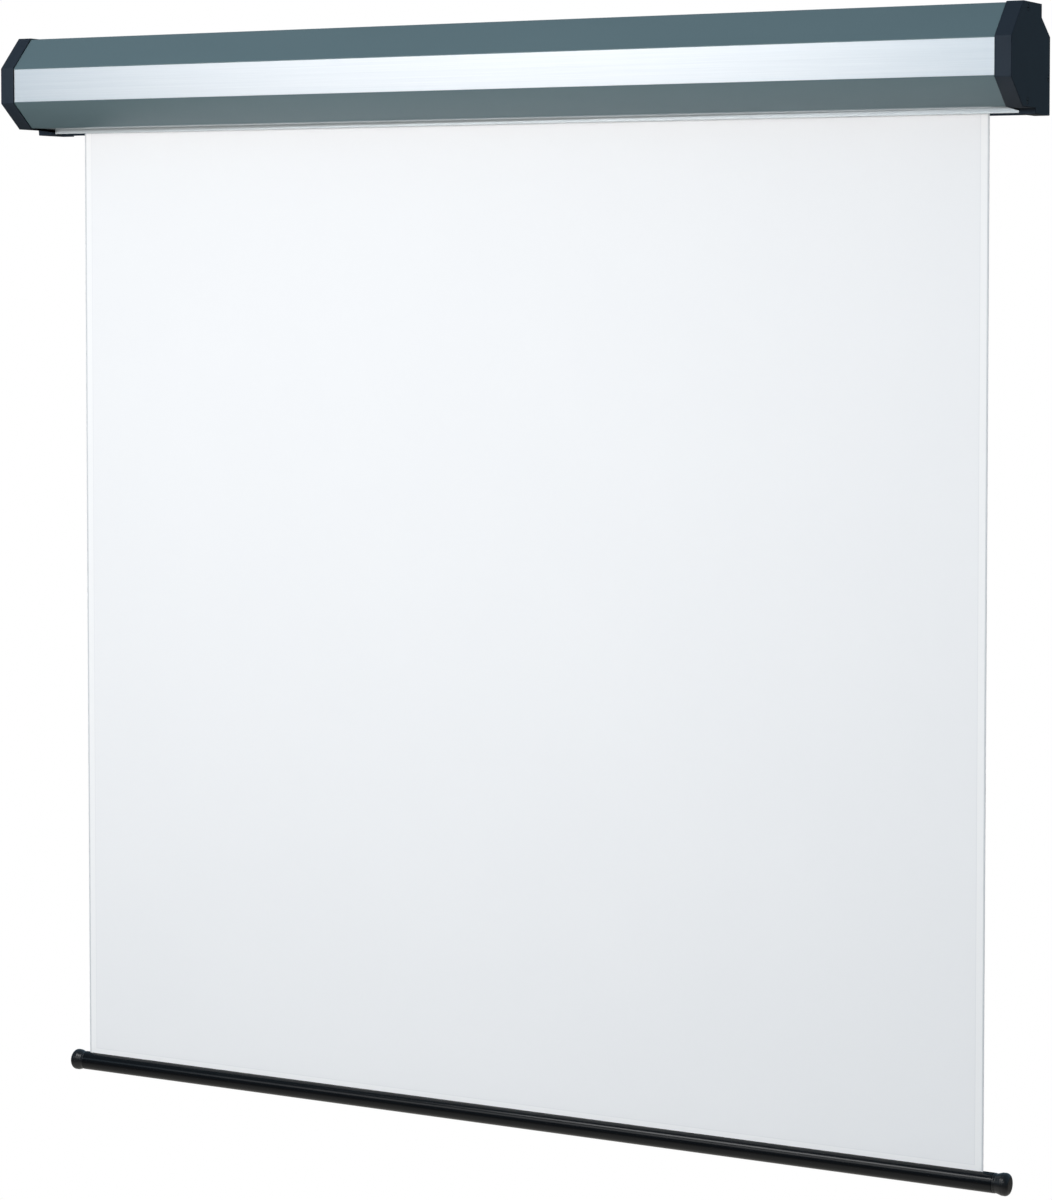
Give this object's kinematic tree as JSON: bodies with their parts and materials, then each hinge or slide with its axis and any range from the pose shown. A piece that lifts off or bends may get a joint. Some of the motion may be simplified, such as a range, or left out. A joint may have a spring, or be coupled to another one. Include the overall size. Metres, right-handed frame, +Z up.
{
  "type": "pull-down projector screen",
  "caption": "Wall-hung pull-down projector screen: eight-sided casing with end caps, spring roller with ratchet, white screen sheet and round bottom bar.",
  "frame": {"origin": "on the wall plane at the casing's rear face, at mid-length, level with the roller's axis", "axes": "+X to the right as seen from the front, +Y into the wall, so the front faces -Y, +Z up"},
  "size_m": [1.372, 0.1345, 1.3648],
  "materials": {
    "casing_paint": "satin grey-green powder coat on extruded aluminium",
    "brushed_silver": "bright aluminium, brushed along its length",
    "light_trim": "light grey satin",
    "black_plastic": "black moulded plastic with a fine grain",
    "black_steel": "blackened screw steel",
    "zinc_steel": "zinc plated",
    "spring_steel": "oiled spring steel",
    "roller_aluminium": "mill finish",
    "nylon": "natural nylon",
    "screen_fabric": "matt white screen fabric",
    "bar_black": "gloss black",
    "knob_black": "gloss black moulded plastic"
  },
  "bodies": {
    "casing": {"casing_shell": "casing_paint", "front_fascia": "brushed_silver", "bottom_cover": "light_trim", "rear_slot_lip": "black_plastic", "lip_screw_1": "zinc_steel", "lip_screw_2": "zinc_steel", "lip_screw_3": "zinc_steel", "lip_screw_4": "zinc_steel", "end_cap_left": "black_plastic", "end_cap_right": "black_plastic", "cap_screw_left_1": "black_steel", "cap_screw_left_2": "black_steel", "cap_screw_left_3": "black_steel", "cap_screw_right_1": "black_steel", "cap_screw_right_2": "black_steel", "cap_screw_right_3": "black_steel", "wall_bracket_left": "zinc_steel", "wall_bracket_right": "zinc_steel", "bearing_plate_left": "zinc_steel", "bearing_plate_right": "zinc_steel", "plate_screw_left_1": "zinc_steel", "plate_screw_left_2": "zinc_steel", "plate_screw_right_1": "zinc_steel", "plate_screw_right_2": "zinc_steel", "idle_bush": "nylon", "spring_arbor": "zinc_steel", "ratchet_wheel": "zinc_steel", "torsion_spring": "spring_steel", "arbor_collar": "zinc_steel"},
    "roller": {"roller_tube": "roller_aluminium", "roller_ferrule": "zinc_steel", "arbor_steady": "nylon", "roller_plug": "black_plastic", "idle_pin": "zinc_steel", "pawl_pin_1": "zinc_steel", "pawl_pin_2": "zinc_steel", "fabric_wrap": "screen_fabric"},
    "upper_pawl": {"pawl_1": "spring_steel"},
    "lower_pawl": {"pawl_2": "spring_steel"},
    "bottom_bar": {"screen_fabric": "screen_fabric", "bar_tube": "bar_black", "bar_spline": "nylon", "bar_knob_left": "knob_black", "bar_knob_right": "knob_black"}
  },
  "joints": [
    {"name": "bar_slide", "type": "slide", "parent": "casing", "child": "bottom_bar", "axis": [0, 0, 1], "range_m": [0, 1.213], "deforming": ["screen_fabric"]},
    {"name": "roller_spin", "type": "hinge", "parent": "casing", "child": "roller", "pos_m": [0, -0.061, 0], "axis": [1, 0, 0], "range_deg": [0, 2521]},
    {"name": "upper_pawl_swing", "type": "hinge", "parent": "roller", "child": "upper_pawl", "pos_m": [-0.646, -0.0481, 0.013], "axis": [1, 0, 0], "range_deg": [0, 13]},
    {"name": "lower_pawl_swing", "type": "hinge", "parent": "roller", "child": "lower_pawl", "pos_m": [-0.646, -0.0739, -0.013], "axis": [1, 0, 0], "range_deg": [0, 13]}
  ],
  "couplings": [
    {"joint": "roller_spin", "follows": "bar_slide", "rad_per_m": 36.259}
  ]
}
